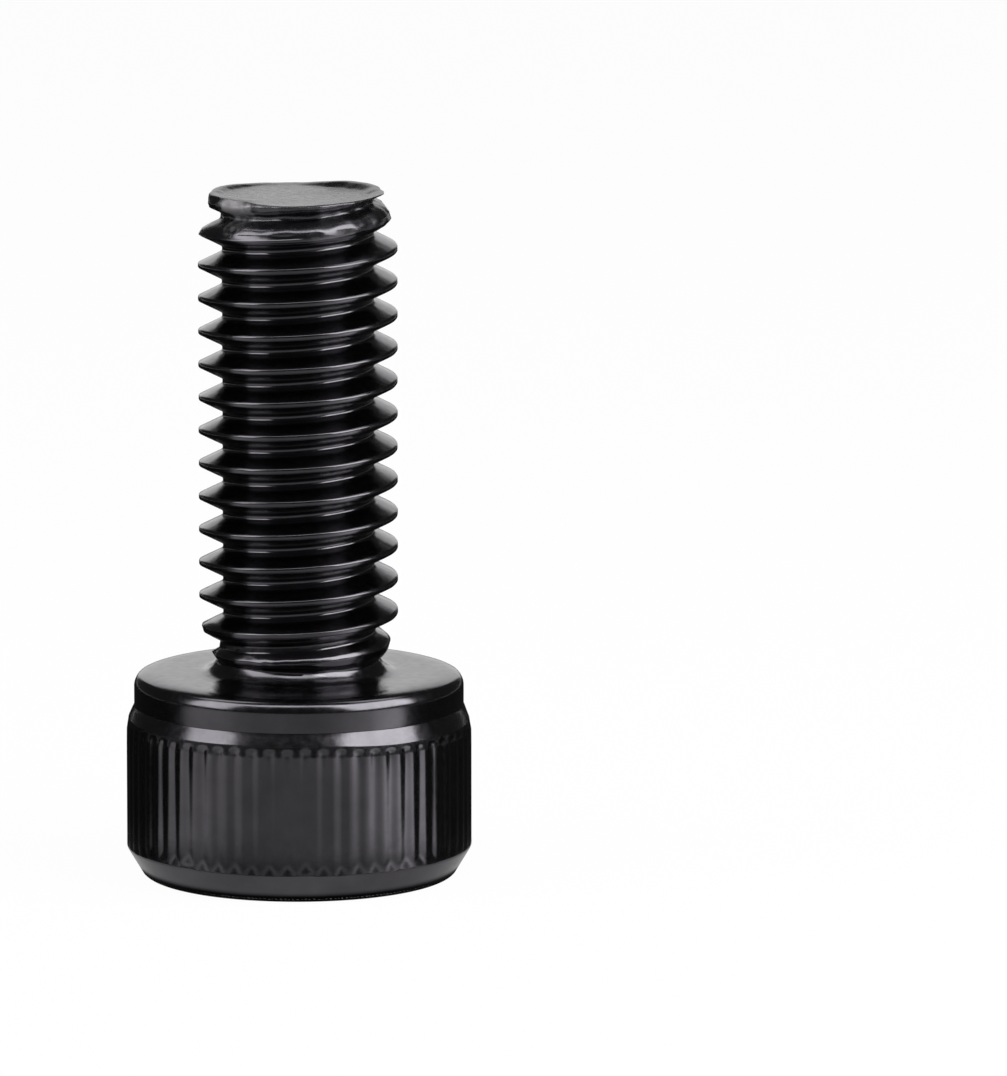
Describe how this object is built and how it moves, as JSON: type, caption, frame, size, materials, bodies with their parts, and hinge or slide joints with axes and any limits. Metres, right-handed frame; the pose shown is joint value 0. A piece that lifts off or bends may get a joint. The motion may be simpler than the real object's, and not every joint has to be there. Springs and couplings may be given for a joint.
{
  "type": "hex socket cap screw",
  "caption": "Knurled cylindrical-head screw with a hexagonal socket, a right-hand thread up to the head and a shallow dished tip, in black oxide steel.",
  "frame": {"origin": "centre of the head's end face, where the socket opens; the screw stands on this face", "axes": "+Z along the shank from the head to the tip; a crest of the thread meets the tip plane 296 degrees round from +X; two flats of the hexagon face +Y and -Y"},
  "size_m": [0.0082, 0.0082, 0.0167],
  "materials": {
    "black_steel": "black oxide, oiled satin"
  },
  "bodies": {
    "root": {"cap_screw": "black_steel"}
  },
  "joints": []
}
